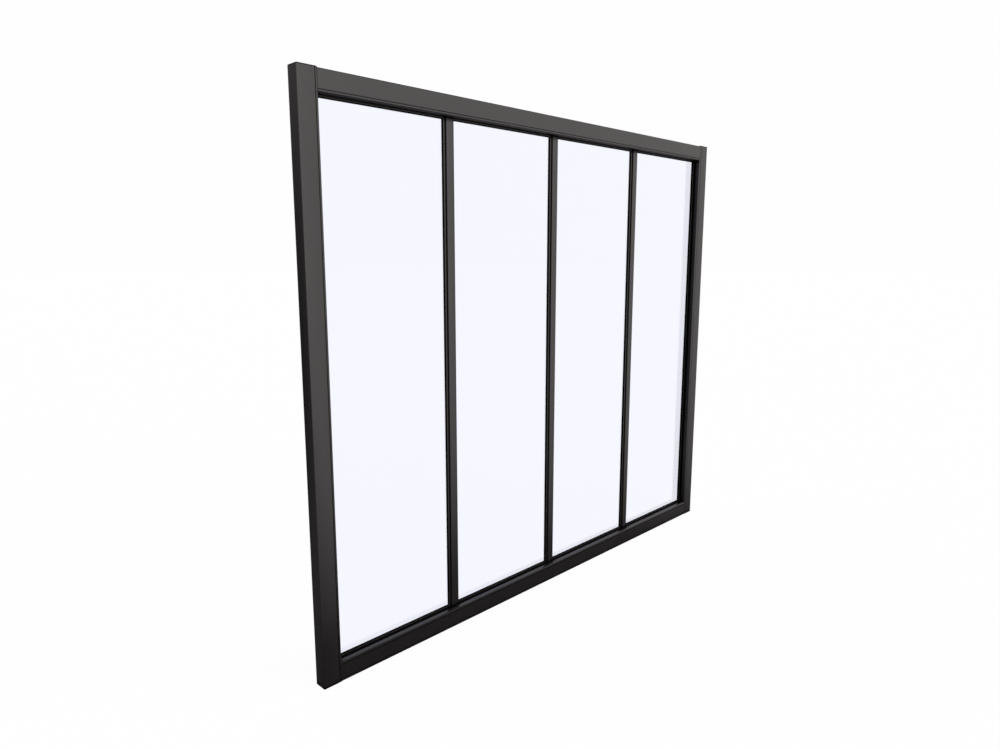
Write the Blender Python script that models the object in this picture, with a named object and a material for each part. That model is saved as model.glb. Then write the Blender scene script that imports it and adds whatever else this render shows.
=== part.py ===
# Interior glass partition: four tall panes side by side in a slim dark metal frame.
# Metres, +Z up. X runs along the partition and Y through it; the front looks along -Y.
# The origin is the middle of the bottom rail's underside.
import math

import bmesh
import bpy
from mathutils import Vector

# Overall size
HEIGHT = 1.050              # floor to the top of the stile caps
WIDTH = 1.250               # over both stiles
PANES = 4                   # panes side by side
CLEARANCE = 0.0003          # left between touching pieces

# Frame extrusion, measured in from its outer edge and back from its front face
FACE = 0.037                # width of the frame's face
WALL = 0.0016               # wall of the hollow frame section
EDGE_RADIUS = 0.0015        # rounding of the outer long edges
EDGE_STEPS = 4              # facets in that rounding
INNER_CHAMFER = 0.0018      # on the face's inner edge, round the opening
QUIRK_INSET = 0.0044        # quirk to the face's inner edge
QUIRK_WIDTH = 0.0012        # quirk, a slot that runs round the face
QUIRK_DEPTH = 0.0008
REVEAL_DEPTH = 0.011        # front face to the shadow groove
GROOVE_WIDTH = 0.0065       # shadow groove in front of the lip
GROOVE_DEPTH = 0.0045
LIP_HEIGHT = 0.0027         # lip past the reveal, in front of the glass edge
LIP_THICKNESS = 0.0015
LIP_RADIUS = 0.0005         # rounding of the lip's two tip edges
LIP_STEPS = 2
REBATE = 0.0062             # lip's tip to the platform round the glass edge

# Mullion extrusion
NOSE_WIDTH = 0.0165         # front bar of a mullion
NOSE_STEP = 0.003           # reveal's back edge to the mullion's front bar
MULLION_LIP = 0.0045        # lip past each side of the front bar
NOSE_RADIUS = 0.0008
MULLION_WALL = 0.0015

# Glazing
GLASS_THICKNESS = 0.004
GLASS_EDGE_GAP = 0.0015     # platform to the glass edge
GLASS_ARRIS = 0.0004        # ground edge of the glass
GASKET_THICKNESS = 0.001
GASKET_SEAT = 0.0025        # platform to the gasket's hidden edge
GASKET_SHOW = 0.0018        # gasket past the lip's tip
BEAD_WIDTH = 0.0055         # platform to the bead's inner edge
BEAD_THICKNESS = 0.0024     # flush with the frame's back face
BEAD_CHAMFER = 0.001
TONGUE_WIDTH = 0.0009       # snap tongue along the bead's foot
TONGUE_DEPTH = 0.0005       # how far it reaches past the platform

# End caps of the stiles
CAP_PLATE = 0.0012          # plate over the cut end
CAP_PLUG = 0.012            # plug down into the hollow
CAP_EDGE = 0.0004
OVERRUN = 0.004             # how far a cutter runs past what it cuts
SHARP_ANGLE = math.radians(30)

# Worked out from the sizes above
NOSE_SETBACK = REVEAL_DEPTH + NOSE_STEP
LIP_FRONT = REVEAL_DEPTH + GROOVE_WIDTH
LIP_BACK = LIP_FRONT + LIP_THICKNESS
LIP_TIP = FACE + LIP_HEIGHT
PLATFORM = LIP_TIP - REBATE
GROOVE_FLOOR = FACE - GROOVE_DEPTH
QUIRK_INNER = FACE - QUIRK_INSET
QUIRK_OUTER = QUIRK_INNER - QUIRK_WIDTH
FLANGE = NOSE_WIDTH / 2 + MULLION_LIP
WEB = FLANGE - REBATE
GASKET_FRONT = LIP_BACK + CLEARANCE
GASKET_BACK = GASKET_FRONT + GASKET_THICKNESS
GLASS_FRONT = GASKET_BACK + CLEARANCE
GLASS_BACK = GLASS_FRONT + GLASS_THICKNESS
BEAD_FRONT = GLASS_BACK + CLEARANCE
DEPTH = BEAD_FRONT + BEAD_THICKNESS
TONGUE_FRONT = BEAD_FRONT + (BEAD_THICKNESS - TONGUE_WIDTH) / 2
TONGUE_BACK = TONGUE_FRONT + TONGUE_WIDTH
STILE_TOP = HEIGHT - CAP_PLATE - CLEARANCE
PITCH = (WIDTH - FACE) / PANES


def arc(centre_u, centre_v, radius, start, steps):
    # Points of a quarter turn round a centre, from the start angle on.
    points = []
    for step in range(steps + 1):
        angle = start + math.pi / 2 * step / steps
        points.append((centre_u + radius * math.cos(angle), centre_v + radius * math.sin(angle)))
    return points


def lip_tip(tip):
    # The two rounded corners of a lip that ends at u = tip.
    reach = tip - LIP_RADIUS
    front = arc(reach, LIP_FRONT + LIP_RADIUS, LIP_RADIUS, -math.pi / 2, LIP_STEPS)
    return front + arc(reach, LIP_BACK - LIP_RADIUS, LIP_RADIUS, 0.0, LIP_STEPS)


def tongue_groove(platform):
    # Groove in a platform for a bead's snap tongue, a clearance larger all round.
    floor = platform - TONGUE_DEPTH - CLEARANCE
    front = TONGUE_FRONT - CLEARANCE
    back = TONGUE_BACK + CLEARANCE
    return [(platform, front), (floor, front), (floor, back), (platform, back)]


def frame_outline(with_quirk, with_lip, with_groove):
    # Frame section: u runs in from the outer edge, v runs back from the front face.
    front_edge = arc(EDGE_RADIUS, EDGE_RADIUS, EDGE_RADIUS, math.pi, EDGE_STEPS)
    back_edge = arc(EDGE_RADIUS, DEPTH - EDGE_RADIUS, EDGE_RADIUS, math.pi / 2, EDGE_STEPS)
    slot = [
        (QUIRK_OUTER, 0.0),
        (QUIRK_OUTER, QUIRK_DEPTH),
        (QUIRK_INNER, QUIRK_DEPTH),
        (QUIRK_INNER, 0.0),
    ]
    quirk = slot if with_quirk else []
    reveal = [
        (FACE - INNER_CHAMFER, 0.0),
        (FACE, INNER_CHAMFER),
        (FACE, REVEAL_DEPTH),
        (GROOVE_FLOOR, REVEAL_DEPTH),
        (GROOVE_FLOOR, LIP_FRONT),
    ]
    lip = lip_tip(LIP_TIP) + [(PLATFORM, LIP_BACK)] if with_lip else [(PLATFORM, LIP_FRONT)]
    groove = tongue_groove(PLATFORM) if with_groove else []
    return front_edge + quirk + reveal + lip + groove + [(PLATFORM, DEPTH)] + back_edge


def frame_chamber(inset):
    # Hollow of the frame section, one wall inside the outline and a further inset from there.
    side = WALL + inset
    shallow = min(QUIRK_OUTER, GROOVE_FLOOR, PLATFORM) - side
    return [
        (side, side),
        (shallow, side),
        (shallow, QUIRK_DEPTH + side),
        (FACE - side, QUIRK_DEPTH + side),
        (FACE - side, REVEAL_DEPTH - side),
        (shallow, REVEAL_DEPTH - side),
        (shallow, DEPTH - side),
        (side, DEPTH - side),
    ]


def both_sides(half):
    # Mirrors the points of a right half over u = 0 into one closed outline.
    mirrored = [(-u, v) for u, v in reversed(half)]
    return half + mirrored


def mullion_outline():
    # Mullion section: u runs out from its middle line, v runs back from the frame's front face.
    nose_edge = arc(
        NOSE_WIDTH / 2 - NOSE_RADIUS, NOSE_SETBACK + NOSE_RADIUS, NOSE_RADIUS, -math.pi / 2, EDGE_STEPS
    )
    root = [(NOSE_WIDTH / 2, LIP_FRONT)]
    web = [(WEB, LIP_BACK)] + tongue_groove(WEB) + [(WEB, DEPTH)]
    return both_sides(nose_edge + root + lip_tip(FLANGE) + web)


def mullion_chamber():
    # Hollow of the mullion section: wide in the nose, narrow in the web.
    nose = NOSE_WIDTH / 2 - MULLION_WALL
    web = WEB - MULLION_WALL
    neck = LIP_BACK - MULLION_WALL
    half = [
        (nose, NOSE_SETBACK + MULLION_WALL),
        (nose, neck),
        (web, neck),
        (web, DEPTH - MULLION_WALL),
    ]
    return both_sides(half)


def grown(outline, distance):
    # Moves every side of a closed outline out by one distance and joins the sides again.
    area = 0.0
    for (u0, v0), (u1, v1) in zip(outline, outline[1:] + outline[:1]):
        area += u0 * v1 - u1 * v0
    turn = 1.0 if area > 0 else -1.0
    points = []
    for index, here in enumerate(outline):
        corner = Vector(here)
        before = (corner - Vector(outline[index - 1])).normalized()
        after = (Vector(outline[(index + 1) % len(outline)]) - corner).normalized()
        normal_before = Vector((before.y, -before.x)) * turn
        normal_after = Vector((after.y, -after.x)) * turn
        reach = distance / (1.0 + normal_before.dot(normal_after))
        moved = corner + (normal_before + normal_after) * reach
        points.append((moved.x, moved.y))
    return points


def prism(name, outline, place, start, end, mitre=0.0):
    # Carries an outline along a straight line. place(u, v, t) gives the point in space, and
    # mitre moves both ends in by that share of u, so 1.0 cuts them at 45 degrees.
    work = bmesh.new()
    first = [work.verts.new(place(u, v, start + mitre * u)) for u, v in outline]
    last = [work.verts.new(place(u, v, end - mitre * u)) for u, v in outline]
    work.faces.new(first)
    work.faces.new(list(reversed(last)))
    for index in range(len(outline)):
        follow = (index + 1) % len(outline)
        work.faces.new([first[follow], first[index], last[index], last[follow]])
    bmesh.ops.recalc_face_normals(work, faces=work.faces)
    mesh = bpy.data.meshes.new(name)
    work.to_mesh(mesh)
    work.free()
    body = bpy.data.objects.new(name, mesh)
    bpy.context.collection.objects.link(body)
    return body


def as_cutter(body):
    body.hide_render = True
    body.display_type = "WIRE"
    return body


def boolean(body, other, operation):
    change = body.modifiers.new(operation.lower(), "BOOLEAN")
    change.operation = operation
    change.object = other
    change.solver = "EXACT"


def finish(body, material):
    body.data.materials.append(material)
    body.data.shade_smooth()
    body.data.set_sharp_from_angle(angle=SHARP_ANGLE)
    return body


def surface(name, colour, roughness, metallic=0.0):
    material = bpy.data.materials.new(name)
    material.use_nodes = True
    shader = material.node_tree.nodes["Principled BSDF"]
    shader.inputs["Base Color"].default_value = (*colour, 1.0)
    shader.inputs["Roughness"].default_value = roughness
    shader.inputs["Metallic"].default_value = metallic
    material.diffuse_color = (*colour, 1.0)
    return material


# Where a section's u, v and length t lie in space for each kind of member

def on_left(u, v, t):
    return (u - WIDTH / 2, v - DEPTH / 2, t)


def on_right(u, v, t):
    return (WIDTH / 2 - u, v - DEPTH / 2, t)


def on_bottom(u, v, t):
    return (t, v - DEPTH / 2, u)


def on_top(u, v, t):
    return (t, v - DEPTH / 2, STILE_TOP - u)


def upright_at(centre):
    def place(u, v, t):
        return (centre + u, v - DEPTH / 2, t)
    return place


def stile(name, place, material):
    # Full-height hollow upright; its lip is cut back where the rails come in.
    section = frame_outline(with_quirk=True, with_lip=True, with_groove=True)
    body = prism(name, section, place, 0.0, STILE_TOP)
    above = STILE_TOP + OVERRUN
    chamber = prism(name + "_chamber", frame_chamber(0.0), place, -OVERRUN, above)
    boolean(body, as_cutter(chamber), "DIFFERENCE")
    lip_end = LIP_TIP + CLEARANCE
    milled = [
        (PLATFORM, LIP_FRONT - CLEARANCE),
        (LIP_TIP + OVERRUN, LIP_FRONT - CLEARANCE),
        (LIP_TIP + OVERRUN, LIP_BACK + CLEARANCE),
        (PLATFORM, LIP_BACK + CLEARANCE),
    ]
    for end, start, stop in (("foot", -OVERRUN, lip_end), ("head", STILE_TOP - lip_end, above)):
        notch = prism(name + "_" + end + "_notch", milled, place, start, stop)
        boolean(body, as_cutter(notch), "DIFFERENCE")
    return finish(body, material)


def rail(name, place, material):
    # Hollow rail between the stiles, its ends coped to the stiles' section.
    reach = WIDTH / 2 - FACE / 2
    section = frame_outline(with_quirk=True, with_lip=True, with_groove=True)
    body = prism(name, section, place, -reach, reach)
    chamber = prism(name + "_chamber", frame_chamber(0.0), place, -reach - OVERRUN, reach + OVERRUN)
    boolean(body, as_cutter(chamber), "DIFFERENCE")
    cope = grown(frame_outline(with_quirk=False, with_lip=False, with_groove=False), CLEARANCE)
    for end, side in (("left", on_left), ("right", on_right)):
        cutter = prism(name + "_" + end + "_cope", cope, side, -OVERRUN, HEIGHT + OVERRUN)
        boolean(body, as_cutter(cutter), "DIFFERENCE")
    return finish(body, material)


def mullion(name, centre, material):
    # Slim upright between two panes, its ends coped round the rails' groove and lip.
    place = upright_at(centre)
    body = prism(name, mullion_outline(), place, FACE / 2, STILE_TOP - FACE / 2)
    chamber = prism(name + "_chamber", mullion_chamber(), place, 0.0, STILE_TOP)
    boolean(body, as_cutter(chamber), "DIFFERENCE")
    cope = grown(frame_outline(with_quirk=False, with_lip=True, with_groove=False), CLEARANCE)
    half = FLANGE + OVERRUN
    for end, side in (("foot", on_bottom), ("head", on_top)):
        cutter = prism(name + "_" + end + "_cope", cope, side, centre - half, centre + half)
        boolean(body, as_cutter(cutter), "DIFFERENCE")
    return finish(body, material)


def stile_cap(name, place, material):
    # Thin plate over a stile's cut end, with a plug that stands in the hollow.
    plate = frame_outline(with_quirk=False, with_lip=False, with_groove=False)
    body = prism(name, plate, place, HEIGHT - CAP_PLATE, HEIGHT)
    work = bmesh.new()
    work.from_mesh(body.data)
    rim = [edge for edge in work.edges if min(vert.co.z for vert in edge.verts) > HEIGHT - CAP_EDGE]
    bmesh.ops.bevel(work, geom=rim, offset=CAP_EDGE, segments=1, affect="EDGES")
    work.to_mesh(body.data)
    work.free()
    inside_plate = HEIGHT - CAP_PLATE / 2
    plug = prism(name + "_plug", frame_chamber(CLEARANCE), place, STILE_TOP - CAP_PLUG, inside_plate)
    boolean(body, as_cutter(plug), "UNION")
    return finish(body, material)


def pane_sides(left, right):
    # The four sides of a pane's rebate: name, length from, length to, and how u, v and t lie.
    bottom = PLATFORM
    top = STILE_TOP - PLATFORM

    def low(u, v, t):
        return (t, v - DEPTH / 2, bottom + u)

    def high(u, v, t):
        return (t, v - DEPTH / 2, top - u)

    def near(u, v, t):
        return (left + u, v - DEPTH / 2, t)

    def far(u, v, t):
        return (right - u, v - DEPTH / 2, t)

    return (
        ("bottom", left, right, low),
        ("top", left, right, high),
        ("left", bottom, top, near),
        ("right", bottom, top, far),
    )


def pane(number, left, right, glass, metal, rubber):
    # One glass pane with its gasket strips in front and its mitred glazing beads behind.
    edge_gap = GLASS_EDGE_GAP
    sheet = [
        (left + edge_gap, GLASS_FRONT),
        (right - edge_gap, GLASS_FRONT),
        (right - edge_gap, GLASS_BACK),
        (left + edge_gap, GLASS_BACK),
    ]
    name = "pane_%d" % number
    body = prism(name, sheet, upright_at(0.0), PLATFORM + edge_gap, STILE_TOP - PLATFORM - edge_gap)
    arris = body.modifiers.new("arris", "BEVEL")
    arris.width = GLASS_ARRIS
    arris.segments = 1
    finish(body, glass)
    strip = [
        (GASKET_SEAT, GASKET_FRONT),
        (REBATE + GASKET_SHOW, GASKET_FRONT),
        (REBATE + GASKET_SHOW, GASKET_BACK),
        (GASKET_SEAT, GASKET_BACK),
    ]
    bead = [
        (CLEARANCE, BEAD_FRONT),
        (BEAD_WIDTH, BEAD_FRONT),
        (BEAD_WIDTH, DEPTH - BEAD_CHAMFER),
        (BEAD_WIDTH - BEAD_CHAMFER, DEPTH),
        (CLEARANCE, DEPTH),
        (CLEARANCE, TONGUE_BACK),
        (-TONGUE_DEPTH, TONGUE_BACK),
        (-TONGUE_DEPTH, TONGUE_FRONT),
        (CLEARANCE, TONGUE_FRONT),
    ]
    for side, start, end, place in pane_sides(left, right):
        joint = CLEARANCE / 2
        finish(prism(name + "_gasket_" + side, strip, place, start + joint, end - joint, 1.0), rubber)
        finish(prism(name + "_bead_" + side, bead, place, start + joint, end - joint, 1.0), metal)


def build():
    for item in list(bpy.data.objects):
        bpy.data.objects.remove(item, do_unlink=True)
    coating = surface("dark powder coat", (0.030, 0.030, 0.032), 0.42)
    moulding = surface("black moulded plastic", (0.012, 0.012, 0.013), 0.5)
    rubber = surface("black glazing rubber", (0.010, 0.010, 0.010), 0.8)
    glass = surface("clear float glass", (0.86, 0.91, 0.93), 0.03)

    stile("left_stile", on_left, coating)
    stile("right_stile", on_right, coating)
    rail("bottom_rail", on_bottom, coating)
    rail("top_rail", on_top, coating)
    stile_cap("left_stile_cap", on_left, moulding)
    stile_cap("right_stile_cap", on_right, moulding)

    centres = [(number - PANES / 2) * PITCH for number in range(1, PANES)]
    for number, centre in enumerate(centres, start=1):
        mullion("mullion_%d" % number, centre, coating)

    left_edges = [PLATFORM - WIDTH / 2] + [centre + WEB for centre in centres]
    right_edges = [centre - WEB for centre in centres] + [WIDTH / 2 - PLATFORM]
    for number, (left, right) in enumerate(zip(left_edges, right_edges), start=1):
        pane(number, left, right, glass, coating, rubber)


build()
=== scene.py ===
# Interior glass partition: powder-coated frame, rubber gaskets and four clear panes.
import math

import bmesh
import bpy
import numpy as np
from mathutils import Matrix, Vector


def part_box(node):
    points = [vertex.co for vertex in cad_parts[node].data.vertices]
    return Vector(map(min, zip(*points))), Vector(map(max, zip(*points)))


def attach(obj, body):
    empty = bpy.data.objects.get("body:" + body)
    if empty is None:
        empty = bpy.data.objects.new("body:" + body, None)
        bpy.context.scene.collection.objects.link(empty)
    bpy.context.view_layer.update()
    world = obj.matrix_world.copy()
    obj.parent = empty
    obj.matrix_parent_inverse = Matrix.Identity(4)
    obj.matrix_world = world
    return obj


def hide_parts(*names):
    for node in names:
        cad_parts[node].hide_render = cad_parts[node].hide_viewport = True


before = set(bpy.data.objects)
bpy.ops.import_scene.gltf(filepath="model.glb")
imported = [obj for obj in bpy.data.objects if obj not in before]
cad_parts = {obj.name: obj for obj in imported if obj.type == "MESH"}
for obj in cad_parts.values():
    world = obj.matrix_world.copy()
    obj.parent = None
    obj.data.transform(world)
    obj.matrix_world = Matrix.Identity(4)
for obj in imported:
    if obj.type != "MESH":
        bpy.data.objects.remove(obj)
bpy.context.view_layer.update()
print("frame loaded:", len(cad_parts), "nodes")


# Helpers

creaseAngle = math.radians(35)     # faces that meet more sharply than this stay crisp


def linear(hexColour):
    # sRGB hex text to the linear colour that a shader socket takes, by the sRGB curve: a
    # straight start, then a power of 2.4
    channels = [int(hexColour[i:i + 2], 16) / 255 for i in (1, 3, 5)]
    return tuple(c / 12.92 if c <= 0.04045 else ((c + 0.055) / 1.055) ** 2.4 for c in channels) + (1.0,)


def addNode(tree, kind, inputs=None, **settings):
    # one node with its settings; an input is a plain value or another node's output
    node = tree.nodes.new(kind)
    for name, value in settings.items():
        setattr(node, name, value)
    for name, value in (inputs or {}).items():
        if isinstance(value, bpy.types.NodeSocket):
            tree.links.new(value, node.inputs[name])
        else:
            node.inputs[name].default_value = value
    return node


def addMath(tree, operation, first, second):
    return addNode(tree, "ShaderNodeMath", {0: first, 1: second}, operation=operation).outputs["Value"]


def newMaterial(name):
    # an empty material with its output node, ready for a shader
    material = bpy.data.materials.new(name)
    material.use_nodes = True
    tree = material.node_tree
    tree.nodes.clear()
    return material, tree, tree.nodes.new("ShaderNodeOutputMaterial")


def dressPiece(piece, material, replaced):
    # its material, smooth shading between creases, and its place in the frame
    mesh = piece.data
    mesh.materials.clear()
    mesh.materials.append(material)
    mesh.shade_smooth()
    mesh.set_sharp_from_angle(angle=creaseAngle)
    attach(piece, "root")
    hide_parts(replaced)
    return piece


def meshPiece(name, vertices, faces, material, replaced):
    # a piece made of numpy vertices and a list of faces
    mesh = bpy.data.meshes.new(name)
    mesh.from_pydata(vertices, [], faces)
    mesh.validate()
    piece = bpy.data.objects.new(name, mesh)
    bpy.context.scene.collection.objects.link(piece)
    return dressPiece(piece, material, replaced)


# Materials

powderCoat = dict(
    colour="#151212",          # near-black polyester powder, a touch warm
    paleColour="#191616",      # the same coat where it lies thinner, in broad clouds
    # the dull values serve thin coat along sharp edges, and painted shade in recesses
    thinCoatAndShadeColour="#080707",      # where it is thin along sharp edges, and painted shade in recesses
    roughness=(0.36, 0.46),    # from cloud to cloud
    dullRoughness=0.8,
    ior=1.5,
    shine=0.5,
    dullShine=0.08,
    skin=1.0,                  # resin-rich skin on top
    dullSkin=0.05,             # what is left of it where the coat is thin along edges, and in the painted shade of recesses
    skinRoughness=0.24,
    skinIor=1.55,
    cloud=0.12,                # metres across one cloud of thicker and thinner coat
    cloudEnds=(0.3, 0.7),      # noise values between which the clouds run
    peel=0.006,                # orange peel; real bumps are about 2 mm, drawn coarser to show
    peelHeight=0.000010,
    peelStrength=0.6,
    edgeReach=0.0014,          # powder draws back this far from a sharp edge
    edgeTurn=(0.99, 0.8),      # cosine between face and eased edge, from full coat to thin
    edgeDullness=0.5,          # how far it thins there; 1 is as dull as it gets
    paintedShadeReach=0.012,         # metres within which nearby surfaces put a spot in painted shade
    paintedShadeOpenness=(0.94, 0.6),      # how open the spot lies, from no painted shade to full
)


def makePowderCoat():
    # Polyester powder sprayed dry and baked on aluminium: a dark satin skin that takes a broad soft sheen,
    # a little uneven in thickness, thin and dull along sharp edges. Recesses get painted shade: darker,
    # rougher and with less sheen the more closed in they lie
    p = powderCoat
    material, tree, output = newMaterial("baked satin black powder coat")
    place = addNode(tree, "ShaderNodeTexCoord").outputs["Object"]
    cloud = addNode(tree, "ShaderNodeTexNoise", {
        "Vector": place, "Scale": 1 / p["cloud"], "Detail": 5.0, "Roughness": 0.55})
    body = addNode(tree, "ShaderNodeMix", {
        "Factor": cloud.outputs["Fac"], "A": linear(p["colour"]), "B": linear(p["paleColour"])},
        data_type="RGBA")
    eased = addNode(tree, "ShaderNodeBevel", {"Radius": p["edgeReach"]}, samples=4)
    flat = addNode(tree, "ShaderNodeNewGeometry")
    turn = addNode(tree, "ShaderNodeVectorMath", {
        0: eased.outputs["Normal"], 1: flat.outputs["Normal"]}, operation="DOT_PRODUCT")
    edge = addNode(tree, "ShaderNodeMapRange", {
        "Value": turn.outputs["Value"], "From Min": p["edgeTurn"][0], "From Max": p["edgeTurn"][1],
        "To Min": 0.0, "To Max": p["edgeDullness"]})
    # painted shade: the less open a spot lies, the darker, rougher and less glossy it is drawn
    paintedShadeOpenness = addNode(tree, "ShaderNodeAmbientOcclusion", {"Distance": p["paintedShadeReach"]}, samples=8)
    paintedShade = addNode(tree, "ShaderNodeMapRange", {
        "Value": paintedShadeOpenness.outputs["AO"], "To Min": 0.0, "To Max": 1.0,
        "From Min": p["paintedShadeOpenness"][0], "From Max": p["paintedShadeOpenness"][1]})
    # the larger of edge wear and painted shade sets colour, roughness, sheen and skin
    edgeWearAndShade = addMath(tree, "MAXIMUM", edge.outputs["Result"], paintedShade.outputs["Result"])
    colour = addNode(tree, "ShaderNodeMix", {
        "Factor": edgeWearAndShade, "A": body.outputs["Result"], "B": linear(p["thinCoatAndShadeColour"])}, data_type="RGBA")
    cloudy = addNode(tree, "ShaderNodeMapRange", {
        "Value": cloud.outputs["Fac"], "From Min": p["cloudEnds"][0], "From Max": p["cloudEnds"][1],
        "To Min": p["roughness"][0], "To Max": p["roughness"][1]})
    rough = addNode(tree, "ShaderNodeMapRange", {
        "Value": edgeWearAndShade, "To Min": cloudy.outputs["Result"], "To Max": p["dullRoughness"]})
    shine = addNode(tree, "ShaderNodeMapRange", {
        "Value": edgeWearAndShade, "To Min": p["shine"], "To Max": p["dullShine"]})
    skin = addNode(tree, "ShaderNodeMapRange", {
        "Value": edgeWearAndShade, "To Min": p["skin"], "To Max": p["dullSkin"]})
    peel = addNode(tree, "ShaderNodeTexNoise", {
        "Vector": place, "Scale": 1 / p["peel"], "Detail": 1.0, "Roughness": 0.4})
    bump = addNode(tree, "ShaderNodeBump", {
        "Height": peel.outputs["Fac"], "Strength": p["peelStrength"], "Distance": p["peelHeight"]})
    shader = addNode(tree, "ShaderNodeBsdfPrincipled", {
        "Base Color": colour.outputs["Result"], "Roughness": rough.outputs["Result"],
        "IOR": p["ior"], "Specular IOR Level": shine.outputs["Result"],
        "Normal": bump.outputs["Normal"], "Coat Weight": skin.outputs["Result"],
        "Coat Roughness": p["skinRoughness"], "Coat IOR": p["skinIor"],
        "Coat Normal": bump.outputs["Normal"]})
    tree.links.new(shader.outputs["BSDF"], output.inputs["Surface"])
    return material


glazingRubber = dict(
    colour="#050505",
    roughness=(0.80, 0.96),
    ior=1.52,
    shine=0.12,
    grain=0.0018,              # metres across one grain, drawn coarser than the real one to show
    grainHeight=0.00002,
    grainStrength=0.5,
)


def makeGlazingRubber():
    # Extruded black rubber: matt and nearly without shine, with fine grain from the die
    p = glazingRubber
    material, tree, output = newMaterial("extruded black rubber")
    place = addNode(tree, "ShaderNodeTexCoord").outputs["Object"]
    grain = addNode(tree, "ShaderNodeTexNoise", {"Vector": place, "Scale": 1 / p["grain"], "Detail": 2.0})
    rough = addNode(tree, "ShaderNodeMapRange", {
        "Value": grain.outputs["Fac"], "To Min": p["roughness"][0], "To Max": p["roughness"][1]})
    bump = addNode(tree, "ShaderNodeBump", {
        "Height": grain.outputs["Fac"], "Strength": p["grainStrength"], "Distance": p["grainHeight"]})
    shader = addNode(tree, "ShaderNodeBsdfPrincipled", {
        "Base Color": linear(p["colour"]), "Roughness": rough.outputs["Result"],
        "IOR": p["ior"], "Specular IOR Level": p["shine"], "Normal": bump.outputs["Normal"]})
    tree.links.new(shader.outputs["BSDF"], output.inputs["Surface"])
    return material


mouldedCap = dict(
    colour="#161617",
    roughness=(0.50, 0.62),
    ior=1.53,
    grain=0.0012,              # metres across one pit, drawn coarser than the real one to show
    grainHeight=0.00003,
    grainStrength=0.6,
)


def makeMouldedCap():
    # Injection-moulded nylon with a spark-eroded texture: matt and slightly grainy
    p = mouldedCap
    material, tree, output = newMaterial("moulded black nylon")
    place = addNode(tree, "ShaderNodeTexCoord").outputs["Object"]
    grain = addNode(tree, "ShaderNodeTexVoronoi", {"Vector": place, "Scale": 1 / p["grain"]})
    bump = addNode(tree, "ShaderNodeBump", {
        "Height": grain.outputs["Distance"], "Strength": p["grainStrength"], "Distance": p["grainHeight"]})
    rough = addNode(tree, "ShaderNodeMapRange", {
        "Value": grain.outputs["Distance"], "To Min": p["roughness"][0], "To Max": p["roughness"][1]})
    shader = addNode(tree, "ShaderNodeBsdfPrincipled", {
        "Base Color": linear(p["colour"]), "Roughness": rough.outputs["Result"],
        "IOR": p["ior"], "Normal": bump.outputs["Normal"]})
    tree.links.new(shader.outputs["BSDF"], output.inputs["Surface"])
    return material


floatGlass = dict(tint="#f5f7ff", roughness=0.0, ior=1.52)


def makeFloatGlass():
    # Clear toughened float glass: mirror-smooth, with a faint cool tint. Lamp light and the soft
    # light between the frame's own surfaces pass straight through it
    p = floatGlass
    material, tree, output = newMaterial("clear toughened float glass")
    shader = addNode(tree, "ShaderNodeBsdfPrincipled", {
        "Base Color": linear(p["tint"]), "Roughness": p["roughness"], "IOR": p["ior"],
        "Transmission Weight": 1.0})
    clear = addNode(tree, "ShaderNodeBsdfTransparent", {"Color": linear(p["tint"])})
    path = addNode(tree, "ShaderNodeLightPath")
    reflected, sharp = path.outputs["Is Reflection Ray"], path.outputs["Is Singular Ray"]
    blurred = addMath(tree, "SUBTRACT", reflected, sharp)
    straight = addMath(tree, "MAXIMUM", path.outputs["Is Shadow Ray"], blurred)
    mix = addNode(tree, "ShaderNodeMixShader", {
        0: straight, 1: shader.outputs["BSDF"], 2: clear.outputs["BSDF"]})
    tree.links.new(mix.outputs["Shader"], output.inputs["Surface"])
    return material


coatMaterial = makePowderCoat()
rubberMaterial = makeGlazingRubber()
capMaterial = makeMouldedCap()
glassMaterial = makeFloatGlass()
print("materials made")


# Frame members and stile caps

memberEdges = dict(
    radius=0.00025,            # as an extrusion die leaves it
    segments=2,
    angle=math.radians(50),    # edges less sharp than this stay as they are
    straight=0.99,             # cosine to the member's length from which an edge runs along it
    flat=math.radians(0.5),    # faces that meet flatter than this are joined
    weld=1e-6,                 # metres between corners that are merged
)


def softenedMember(node, material):
    # the node's own solid with its loose triangles merged, flat ones joined, and every hard
    # edge along its length rounded by the die radius
    e = memberEdges
    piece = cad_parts[node].copy()
    piece.data = piece.data.copy()
    piece.name = "dressed_" + node
    bpy.context.scene.collection.objects.link(piece)
    work = bmesh.new()
    work.from_mesh(piece.data)
    bmesh.ops.remove_doubles(work, verts=work.verts, dist=e["weld"])
    bmesh.ops.dissolve_limit(
        work, angle_limit=e["flat"], use_dissolve_boundaries=False, verts=work.verts, edges=work.edges)
    bmesh.ops.recalc_face_normals(work, faces=work.faces)
    longest = np.argmax(np.ptp(np.array([vert.co for vert in work.verts]), axis=0))
    weight = work.edges.layers.float.new("bevel_weight_edge")
    for edge in work.edges:
        run = (edge.verts[1].co - edge.verts[0].co).normalized()
        edge[weight] = float(abs(run[longest]) > e["straight"] and edge.calc_face_angle(0.0) > e["angle"])
    work.to_mesh(piece.data)
    work.free()
    soft = piece.modifiers.new("die radius", "BEVEL")
    soft.width = e["radius"]
    soft.segments = e["segments"]
    soft.limit_method = "WEIGHT"
    soft.harden_normals = True
    return dressPiece(piece, material, node)


members = ("left_stile", "right_stile", "bottom_rail", "top_rail", "mullion_1", "mullion_2", "mullion_3")
for node in members:
    softenedMember(node, coatMaterial)
for node in ("left_stile_cap", "right_stile_cap"):
    softenedMember(node, capMaterial)
print("frame members and caps made")


# Gaskets and beads

sides = {                      # along the strip, and inwards: from its outer edge to the pane's middle
    "bottom": (Vector((1, 0, 0)), Vector((0, 0, 1))),
    "top": (Vector((1, 0, 0)), Vector((0, 0, -1))),
    "left": (Vector((0, 0, 1)), Vector((1, 0, 0))),
    "right": (Vector((0, 0, 1)), Vector((-1, 0, 0))),
}
rearwards = np.array([0.0, 1.0, 0.0])


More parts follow.
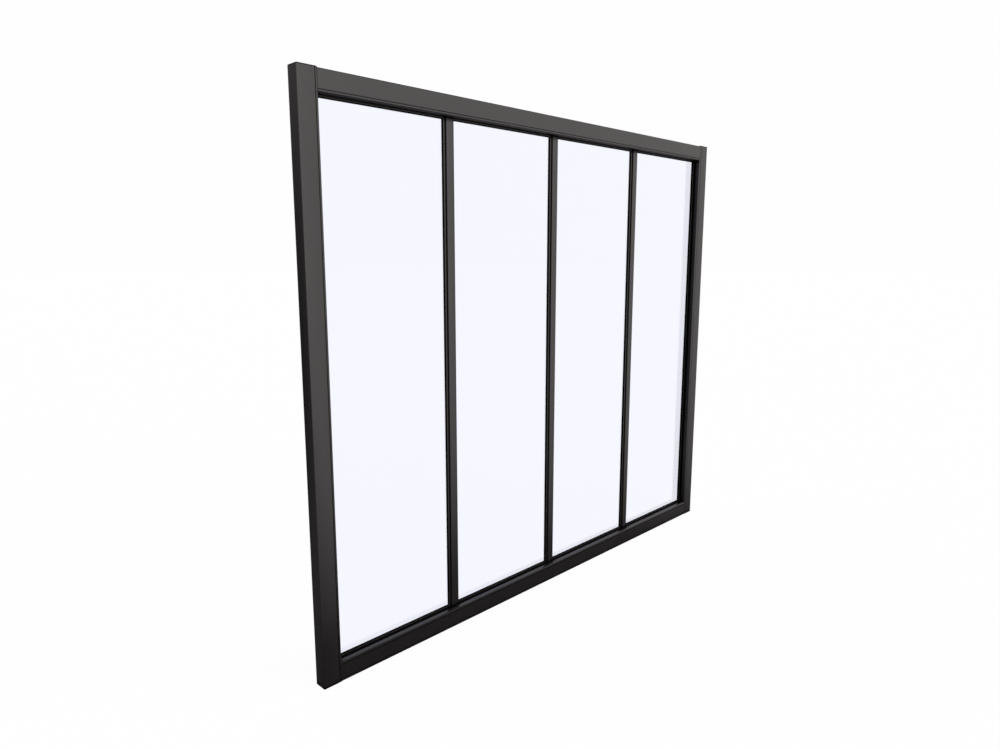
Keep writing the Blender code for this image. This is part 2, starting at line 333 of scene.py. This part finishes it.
def stripSize(node, side):
    # width from the outer edge inwards, and thickness from front to back
    low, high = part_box(node)
    return abs((high - low).dot(sides[side][1])), high.y - low.y


def mitredStrip(name, node, side, profile, material):
    # a closed profile (u inwards from the strip's outer edge, v back from its front) carried
    # along the strip: point = corner + (t + u) * along + u * inwards + v * rearwards, with t from
    # 0 to length - 2 u. So both ends are cut at 45 degrees, and fans round their middles close them
    low, high = (np.array(corner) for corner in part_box(node))
    along, inwards = (np.array(direction) for direction in sides[side])
    corner = np.where(inwards < 0, high, low)
    corner[1] = low[1]
    length = float(np.abs((high - low) @ along))
    u, v = profile[:, 0], profile[:, 1]
    start = corner + u[:, None] * (along + inwards) + v[:, None] * rearwards
    finish = start + (length - 2 * u)[:, None] * along
    middles = [start.mean(0, keepdims=True), finish.mean(0, keepdims=True)]
    vertices = np.concatenate([start, finish] + middles)
    count = len(profile)
    here = np.arange(count)
    after = (here + 1) % count
    walls = np.stack([here, after, after + count, here + count], axis=1).tolist()
    ends = np.concatenate([
        np.stack([after, here, np.full(count, 2 * count)], axis=1),
        np.stack([here + count, after + count, np.full(count, 2 * count + 1)], axis=1)]).tolist()
    piece = meshPiece(name, vertices, walls + ends, material, node)
    work = bmesh.new()
    work.from_mesh(piece.data)
    bmesh.ops.recalc_face_normals(work, faces=work.faces)
    work.to_mesh(piece.data)
    work.free()
    return piece


gasket = dict(
    bulb=0.00065,              # radius of the bulb along the inner edge
    bulbPoints=9,
    neck=2.2,                  # bulb radii from the inner edge at which the flat tail begins
)


def gasketProfile(width, thickness):
    # a round bulb along the inner edge, then a flat tail: middle + bulb * (cos a, sin a) over the
    # half circle that faces inwards, then the tail's four corners
    g = gasket
    angles = np.linspace(-math.pi / 2, math.pi / 2, g["bulbPoints"])
    middle = np.array([width - g["bulb"], thickness / 2])
    rounded = middle + g["bulb"] * np.stack([np.cos(angles), np.sin(angles)], axis=1)
    neck = width - g["neck"] * g["bulb"]
    tail = np.array([[neck, thickness], [0.0, thickness], [0.0, 0.0], [neck, 0.0]])
    return np.concatenate([rounded, tail])


def filletedOutline(points, radii, steps=3):
    # each corner of a closed outline swapped for a short curve that touches both of its sides
    # where an arc of the radius would, radius / tan(half the corner's angle) from the corner:
    # point = (1 - s)^2 * first + 2 s (1 - s) * corner + s^2 * last, with s from 0 to 1
    points = np.asarray(points, float)
    toBefore = np.roll(points, 1, axis=0) - points
    toAfter = np.roll(points, -1, axis=0) - points
    toBefore /= np.linalg.norm(toBefore, axis=1, keepdims=True)
    toAfter /= np.linalg.norm(toAfter, axis=1, keepdims=True)
    half = np.arccos(np.clip((toBefore * toAfter).sum(1), -1, 1)) / 2
    setBack = (np.asarray(radii) / np.tan(half))[:, None, None]
    s = np.linspace(0.0, 1.0, steps + 1)[None, :, None]
    corner = points[:, None, :]
    first = corner + setBack * toBefore[:, None, :]
    last = corner + setBack * toAfter[:, None, :]
    return ((1 - s) ** 2 * first + 2 * s * (1 - s) * corner + s ** 2 * last).reshape(-1, 2)


bead = dict(
    chamfer=0.001,             # on the rear corner of the inner edge
    edge=0.00035,              # radius of the inner edge's corners
    fineness=3,                # times smaller it is round the foot and its tongue
    tongueReach=0.0008,
    tongueWidth=0.0009,
)


def beadProfile(width, thickness):
    # a flat strip with a chamfered rear corner and a snap tongue on its foot, every corner
    # eased by a small radius; u runs inwards from the tongue's tip and v back from the glass
    b = bead
    foot = b["tongueReach"]
    near = (thickness - b["tongueWidth"]) / 2
    far = near + b["tongueWidth"]
    points = [
        (foot, 0.0), (width, 0.0), (width, thickness - b["chamfer"]), (width - b["chamfer"], thickness),
        (foot, thickness), (foot, far), (0.0, far), (0.0, near), (foot, near)]
    edge = b["edge"]
    fine = edge / b["fineness"]
    return filletedOutline(points, [fine] + 3 * [edge] + 5 * [fine])


# Glass

pane = dict(arris=0.0004)      # ground off each edge, front and back


def glassPane(name, node):
    # a flat sheet with ground edges: four rectangles one behind the other, the outer two drawn
    # in by the arris, joined into a rim and closed front and back
    low, high = (np.array(corner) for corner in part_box(node))
    arris = pane["arris"]
    depths = np.array([low[1], low[1] + arris, high[1] - arris, high[1]])
    inset = np.array([arris, 0.0, 0.0, arris])
    left, right = low[0] + inset, high[0] - inset
    bottom, top = low[2] + inset, high[2] - inset
    xs = np.stack([left, right, right, left], axis=1)
    zs = np.stack([bottom, bottom, top, top], axis=1)
    ys = np.repeat(depths[:, None], 4, axis=1)
    vertices = np.stack([xs, ys, zs], axis=2).reshape(-1, 3)
    here = np.arange(12)
    after = here // 4 * 4 + (here + 1) % 4
    rim = np.stack([after, here, here + 4, after + 4], axis=1).tolist()
    front, back = [0, 1, 2, 3], [15, 14, 13, 12]
    return meshPiece(name, vertices, [front, back] + rim, glassMaterial, node)


for number in range(1, 5):
    node = "pane_%d" % number
    glassPane(node + "_glass", node)
    for side in sides:
        strip = "%s_gasket_%s" % (node, side)
        profile = gasketProfile(*stripSize(strip, side))
        mitredStrip(strip + "_bulb", strip, side, profile, rubberMaterial)
        strip = "%s_bead_%s" % (node, side)
        profile = beadProfile(*stripSize(strip, side))
        mitredStrip(strip + "_eased", strip, side, profile, coatMaterial)
print("gaskets, beads and glass made")


# Camera

photoCamera = dict(
    lens=25.6,                 # mm
    sensor=36.0,               # mm
    place=(-1.2200, -1.0421, 0.7623),
    yaw=math.radians(45.20),   # right of the +Y direction
    pitch=math.radians(-9.72),
    clipStart=0.01,
)


def makeCamera():
    p = photoCamera
    camera = bpy.data.objects.new("camera", bpy.data.cameras.new("camera"))
    bpy.context.scene.collection.objects.link(camera)
    camera.data.lens = p["lens"]
    camera.data.sensor_width = p["sensor"]
    camera.location = p["place"]
    camera.rotation_euler = (math.pi / 2 + p["pitch"], 0.0, -p["yaw"])
    camera.data.clip_start = p["clipStart"]
    bpy.context.scene.camera = camera


# Room light, shared by the world and the floor

room = dict(
    white=(1.0, 0.991, 1.0, 1.0),   # the background as the camera sees it
    warm=(1.0, 0.96, 0.95, 1.0),    # the room as satin surfaces find it
    turn=math.radians(12),          # its bright side lies this far left of straight ahead
    bright=1.04,                    # light on that side
    dark=0.008,                     # and opposite
    full=0.85,                      # cosine from the bright side at which the light is full
    falloff=1.75,                   # power by which it falls from there to the opposite side
    fill=0.2,                       # a weaker light behind the partition
    fillTurn=math.radians(45),      # which lies this far right of straight behind
    fillFalloff=3.0,                # power by which it falls to its sides
    bandLight=2.0,                  # added above the horizon
    ceiling=(0.42, 0.68),           # sines of the height at which the room turns to a dark ceiling
)


def addSideLight(tree, place):
    # light from the cosines c and d between a level direction and the bright side and the fill:
    # bright * ((c + 1) / (full + 1)) ^ falloff + fill * (d, at least 0) ^ fillFalloff
    p = room
    level = addNode(tree, "ShaderNodeVectorMath", {0: place, 1: (1.0, 1.0, 0.0)}, operation="MULTIPLY")
    heading = addNode(tree, "ShaderNodeVectorMath", {0: level.outputs["Vector"]}, operation="NORMALIZE")
    c = addNode(tree, "ShaderNodeVectorMath", {
        0: heading.outputs["Vector"], 1: (-math.sin(p["turn"]), -math.cos(p["turn"]), 0.0)},
        operation="DOT_PRODUCT").outputs["Value"]
    d = addNode(tree, "ShaderNodeVectorMath", {
        0: heading.outputs["Vector"], 1: (math.sin(p["fillTurn"]), math.cos(p["fillTurn"]), 0.0)},
        operation="DOT_PRODUCT").outputs["Value"]
    share = addNode(tree, "ShaderNodeMapRange", {"Value": c, "From Min": -1.0, "From Max": p["full"]})
    key = addMath(tree, "POWER", share.outputs["Result"], p["falloff"])
    fill = addMath(tree, "POWER", addMath(tree, "MAXIMUM", d, 0.0), p["fillFalloff"])
    key = addMath(tree, "MULTIPLY", key, p["bright"])
    return addMath(tree, "ADD", key, addMath(tree, "MULTIPLY", fill, p["fill"]))


def addWhiteWhereSeen(tree):
    # 1 for what the camera sees directly, through the glass or mirrored in it
    path = addNode(tree, "ShaderNodeLightPath")
    seen = addMath(tree, "MAXIMUM", path.outputs["Is Camera Ray"], path.outputs["Is Transmission Ray"])
    mirrored = addMath(tree, "MULTIPLY", path.outputs["Is Glossy Ray"], path.outputs["Is Singular Ray"])
    return addMath(tree, "MAXIMUM", seen, mirrored)


# Floor

studioFloor = dict(
    size=60.0,
    drop=0.0005,                    # metres below the partition's foot
    paint=(0.06, 0.06, 0.06, 1.0),  # the part of the floor's white that the lamps give: it shows shadow
    glow=0.962,                     # and the part that is always there
    behind=0.6,                     # metres behind the partition from which its side is judged
    frontEdge=(-0.185, 0.40),       # it is in shade behind y = a, and behind a + b x where x is over 0
    leftEdge=(-0.65, 0.30),         # and right of x = a; to the left of it a distance counts b times
    backEdge=0.2,                   # and in front of y = a
    shadeReach=0.95,                # metres over which the shade fades
    shadeLeast=0.042,               # share of the light that is left in it
)


def makeFloor():
    # White to the eye, with the partition's shadow on it. Satin surfaces find a wedge of shade at
    # the foot and a light that grows with the distance s from it: side light * (s + least) /
    # (s + reach) + dark. s is the largest of 0, the distance in front of the wedge, a share of the
    # one to its left and, behind it, the lesser of that distance and the one from its left edge
    p = studioFloor
    half = p["size"] / 2
    mesh = bpy.data.meshes.new("floor")
    corners = half * np.array([[-1, -1, 0], [1, -1, 0], [1, 1, 0], [-1, 1, 0]]) - [0, 0, p["drop"]]
    mesh.from_pydata(corners, [], [[0, 1, 2, 3]])
    floor = bpy.data.objects.new("floor", mesh)
    bpy.context.scene.collection.objects.link(floor)
    material, tree, output = newMaterial("pale floor")
    place = addNode(tree, "ShaderNodeTexCoord").outputs["Object"]
    split = addNode(tree, "ShaderNodeSeparateXYZ", {"Vector": place})
    x, y = split.outputs["X"], split.outputs["Y"]
    side = addSideLight(tree, addNode(tree, "ShaderNodeVectorMath", {
        0: place, 1: (0.0, p["behind"], 0.0)}, operation="SUBTRACT").outputs["Vector"])
    slant = addMath(tree, "MULTIPLY", addMath(tree, "MAXIMUM", x, 0.0), p["frontEdge"][1])
    ahead = addMath(tree, "SUBTRACT", addMath(tree, "ADD", slant, p["frontEdge"][0]), y)
    aside = addMath(tree, "MULTIPLY", addMath(tree, "SUBTRACT", p["leftEdge"][0], x), p["leftEdge"][1])
    fromBack = addMath(tree, "SUBTRACT", y, p["backEdge"])
    fromLeft = addMath(tree, "SUBTRACT", x, p["leftEdge"][0])
    back = addMath(tree, "MINIMUM", fromBack, fromLeft)
    s = addMath(tree, "MAXIMUM", aside, addMath(tree, "MAXIMUM", back, 0.0))
    s = addMath(tree, "MAXIMUM", ahead, s)
    dimmed = addMath(tree, "ADD", s, p["shadeLeast"] * p["shadeReach"])
    growth = addMath(tree, "DIVIDE", dimmed, addMath(tree, "ADD", s, p["shadeReach"]))
    level = addMath(tree, "ADD", addMath(tree, "MULTIPLY", side, growth), room["dark"])
    lit = addNode(tree, "ShaderNodeEmission", {"Color": room["warm"], "Strength": level})
    paint = addNode(tree, "ShaderNodeBsdfDiffuse", {"Color": p["paint"]})
    glow = addNode(tree, "ShaderNodeEmission", {"Color": room["white"], "Strength": p["glow"]})
    both = addNode(tree, "ShaderNodeAddShader", {0: paint.outputs["BSDF"], 1: glow.outputs["Emission"]})
    mix = addNode(tree, "ShaderNodeMixShader", {
        0: addWhiteWhereSeen(tree), 1: lit.outputs["Emission"], 2: both.outputs["Shader"]})
    tree.links.new(mix.outputs["Shader"], output.inputs["Surface"])
    mesh.materials.append(material)


# World

def makeWorld():
    # White to the eye. Satin surfaces find a room that is bright in front of the partition, weakly
    # lit behind its right end, dark opposite and above: (side light + dark + bandLight * z^2) *
    # (1 down to 0 over the ceiling's heights), where z is the direction's own, or 0 below level
    p = room
    world = bpy.data.worlds.new("studio")
    bpy.context.scene.world = world
    world.use_nodes = True
    tree = world.node_tree
    tree.nodes.clear()
    direction = addNode(tree, "ShaderNodeTexCoord").outputs["Generated"]
    split = addNode(tree, "ShaderNodeSeparateXYZ", {"Vector": direction})
    side = addMath(tree, "ADD", addSideLight(tree, direction), p["dark"])
    z = addMath(tree, "MAXIMUM", split.outputs["Z"], 0.0)
    band = addMath(tree, "MULTIPLY", addMath(tree, "POWER", z, 2.0), p["bandLight"])
    walls = addMath(tree, "ADD", side, band)
    below = addNode(tree, "ShaderNodeMapRange", {
        "Value": z, "To Min": 1.0, "To Max": 0.0,
        "From Min": p["ceiling"][0], "From Max": p["ceiling"][1]},
        interpolation_type="SMOOTHSTEP").outputs["Result"]
    level = addMath(tree, "MULTIPLY", walls, below)
    light = addNode(tree, "ShaderNodeBackground", {"Color": p["warm"], "Strength": level})
    white = addNode(tree, "ShaderNodeBackground", {"Color": p["white"], "Strength": 1.0})
    mix = addNode(tree, "ShaderNodeMixShader", {
        0: addWhiteWhereSeen(tree), 1: light.outputs["Background"], 2: white.outputs["Background"]})
    addNode(tree, "ShaderNodeOutputWorld", {"Surface": mix.outputs["Shader"]})


# Lamps

softLamps = {                  # where each lies, its strength and how widely its light is spread
    "front softbox": dict(place=Vector((0.5, -3.0, 4.2)), strength=1.4, spread=math.radians(45)),
    "back fill": dict(place=Vector((-0.8, 3.0, 3.5)), strength=0.5, spread=math.radians(60)),
}
lampAim = Vector((0.0, 0.0, 0.5))   # near the middle of the partition


def makeSoftLamp(name, place, strength, spread):
    # a far lamp that lights the floor evenly; the satin coat mirrors the room but not the lamp
    lamp = bpy.data.lights.new(name, "SUN")
    lamp.energy = strength
    lamp.angle = spread
    holder = bpy.data.objects.new(name, lamp)
    bpy.context.scene.collection.objects.link(holder)
    holder.location = place
    holder.visible_glossy = False
    holder.rotation_euler = (lampAim - place).to_track_quat("-Z", "Y").to_euler()


makeCamera()
makeFloor()
makeWorld()
for name, lamp in softLamps.items():
    makeSoftLamp(name, **lamp)
bpy.context.scene.view_settings.view_transform = "Standard"
print("camera, floor, world and lamps made")
